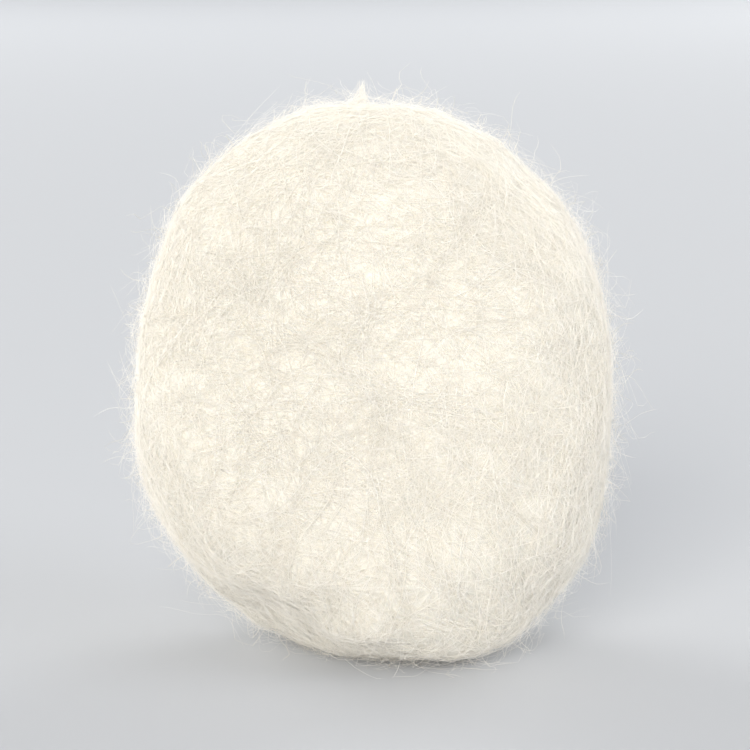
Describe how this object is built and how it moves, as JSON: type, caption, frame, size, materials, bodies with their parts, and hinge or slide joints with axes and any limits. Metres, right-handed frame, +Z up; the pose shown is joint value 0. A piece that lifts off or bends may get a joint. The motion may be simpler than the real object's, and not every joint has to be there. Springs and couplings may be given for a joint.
{
  "type": "cotton ball",
  "caption": "Soft ball of rolled cotton, a little taller than wide, with gathered ends, a lapped edge and a small flat spot to rest on; for wiping, dabbing and padding.",
  "frame": {"origin": "on the surface that the ball rests on, under the middle of its overall box", "axes": "+Z up, along the ball's longest extent; -Y the front, as the picture shows it; +X to the right seen from the front"},
  "size_m": [0.0336, 0.0322, 0.0385],
  "materials": {
    "cotton": "matt, fibrous, bleached cotton"
  },
  "bodies": {
    "root": {"cotton_ball": "cotton"}
  },
  "joints": []
}
